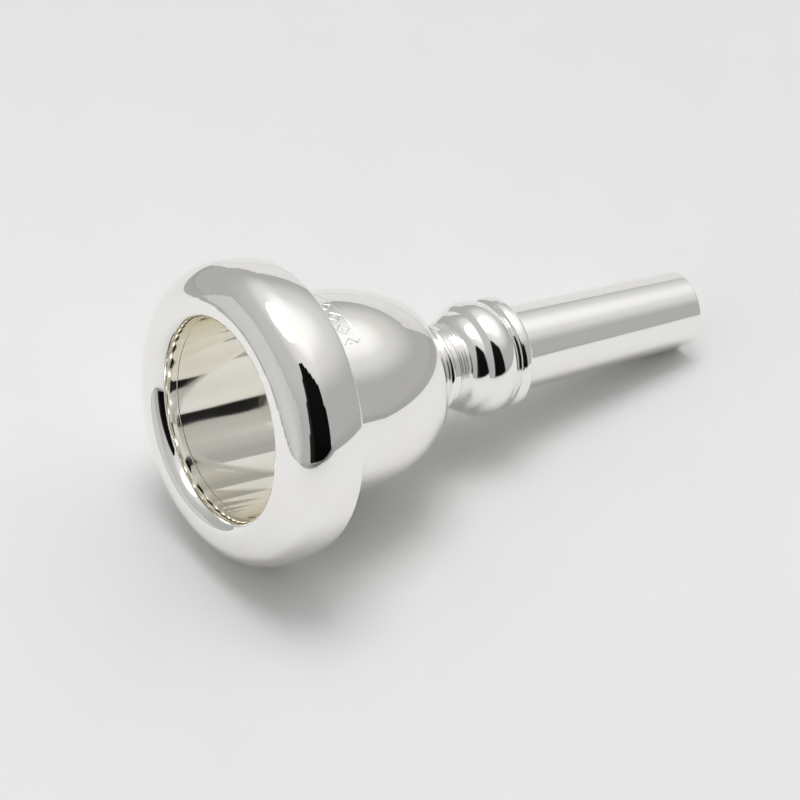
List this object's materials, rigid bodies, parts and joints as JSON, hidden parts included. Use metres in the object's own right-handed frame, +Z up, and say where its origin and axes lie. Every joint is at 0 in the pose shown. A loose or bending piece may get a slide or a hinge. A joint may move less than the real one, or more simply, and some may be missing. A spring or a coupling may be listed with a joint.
{
  "type": "tuba mouthpiece",
  "caption": "Large silver-plated brass-instrument mouthpiece of the tuba size, lying on its side: screw-on rim, deep cup, and tapered shank with beads and a collar.",
  "frame": {"origin": "on the surface that the mouthpiece lies on, under the middle of its box", "axes": "+X runs level from the rim towards the open end of the shank, +Z is up, and the turning axis lies in the XZ plane, 12.03 degrees below level towards +X"},
  "size_m": [0.0992, 0.0498, 0.0494],
  "materials": {
    "silver_plate": "mirror-polished silver plate on brass",
    "black_rubber": "matt moulded rubber"
  },
  "bodies": {
    "cup": {"cup": "silver_plate"},
    "rim_ring": {"rim_o_ring": "black_rubber"},
    "rim": {"rim": "silver_plate"},
    "shank_ring": {"shank_o_ring": "black_rubber"},
    "shank": {"shank": "silver_plate"}
  },
  "joints": [
    {"name": "rim_turn", "type": "hinge", "parent": "cup", "child": "rim_ring", "pos_m": [-0.03509, 0, 0.02404], "axis": [-0.9781, 0, 0.2084], "range_deg": [0, 1080]},
    {"name": "rim_travel", "type": "slide", "parent": "rim_ring", "child": "rim", "axis": [-0.9781, 0, 0.2084], "range_m": [0, 0.0036]},
    {"name": "shank_turn", "type": "hinge", "parent": "cup", "child": "shank_ring", "pos_m": [-0.00585, 0, 0.01781], "axis": [0.9781, 0, -0.2084], "range_deg": [0, 900]},
    {"name": "shank_travel", "type": "slide", "parent": "shank_ring", "child": "shank", "axis": [0.9781, 0, -0.2084], "range_m": [0, 0.0025]}
  ],
  "couplings": [
    {"joint": "rim_turn", "follows": "rim_travel", "rad_per_m": 5236},
    {"joint": "shank_turn", "follows": "shank_travel", "rad_per_m": 6283.2}
  ]
}
